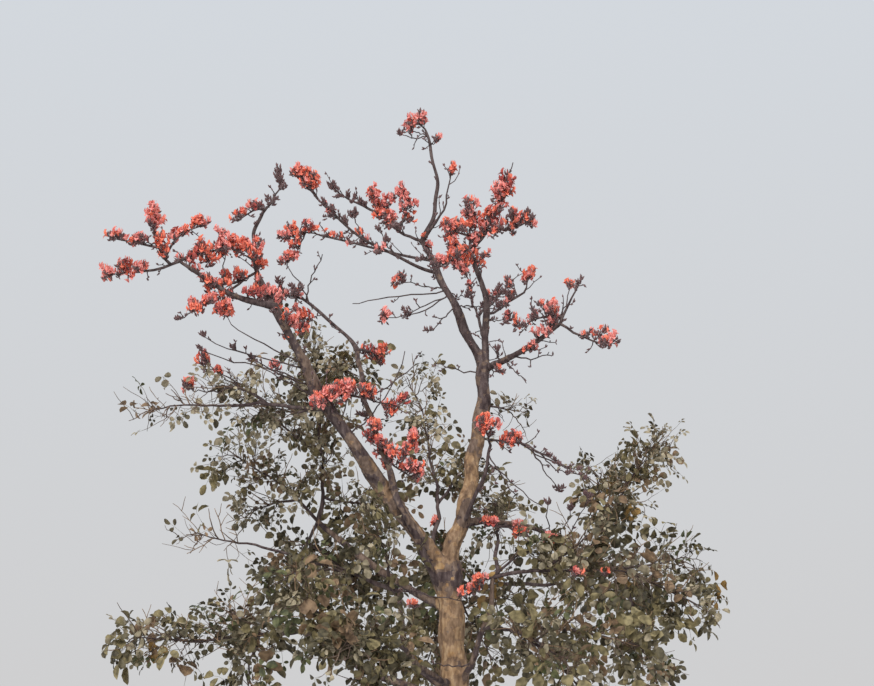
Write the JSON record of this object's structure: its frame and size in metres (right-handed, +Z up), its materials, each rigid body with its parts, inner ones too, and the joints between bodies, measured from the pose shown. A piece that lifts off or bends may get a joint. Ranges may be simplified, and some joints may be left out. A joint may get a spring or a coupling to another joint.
{
  "type": "flame of the forest tree",
  "caption": "Whole flowering tree with a leaning forked trunk, bare upper boughs carrying clusters of orange-red blossom, and sparse grey-green foliage below.",
  "frame": {"origin": "middle of the flat cut across the root flare, at ground level", "axes": "+Z up; +X to the right and +Y away from the viewer when the tree is seen as in the picture, with the leaning left bough on the -X side"},
  "size_m": [7.3053, 5.2581, 9.4041],
  "materials": {
    "bark": "rough, cracked and flaking",
    "blossom": "soft petals with dark velvety cups",
    "leaves": "dull, slightly leathery"
  },
  "bodies": {
    "root": {"trunk": "bark", "left_bough": "bark", "right_bough": "bark", "left_bough_upper": "bark", "left_reach": "bark", "left_spire": "bark", "inner_left_bough": "bark", "inner_left_arm": "bark", "crown_bough": "bark", "middle_bough": "bark", "right_arm": "bark", "leader": "bark", "crown_arm_upper": "bark", "crown_arm_lower": "bark", "right_low_bough": "bark", "right_side_branch": "bark", "left_low_bough": "bark", "left_rear_bough": "bark", "left_far_bough": "bark", "front_bough": "bark", "right_front_bough": "bark", "rear_bough": "bark", "left_end_bloom": "blossom", "left_ridge_bloom": "blossom", "left_spire_bloom": "blossom", "left_inner_bloom": "blossom", "left_core_bloom": "blossom", "far_bloom": "blossom", "crown_left_bloom": "blossom", "crown_bloom": "blossom", "leader_bloom": "blossom", "side_bloom": "blossom", "middle_bloom": "blossom", "right_high_bloom": "blossom", "right_mid_bloom": "blossom", "right_arm_bloom": "blossom", "right_tip_bloom": "blossom", "shoulder_bloom": "blossom", "inner_bloom": "blossom", "gap_bloom": "blossom", "right_side_bloom": "blossom", "low_bloom": "blossom", "right_low_bloom": "blossom", "back_bloom": "blossom", "left_top_leaves": "leaves", "left_mid_leaves": "leaves", "left_back_leaves": "leaves", "centre_leaves": "leaves", "left_low_leaves": "leaves", "left_foot_leaves": "leaves", "left_behind_leaves": "leaves", "front_leaves": "leaves", "back_leaves": "leaves", "right_inner_leaves": "leaves", "right_mid_leaves": "leaves", "right_foot_leaves": "leaves", "right_high_leaves": "leaves", "right_far_leaves": "leaves", "right_small_leaves": "leaves", "right_back_leaves": "leaves"}
  },
  "joints": []
}
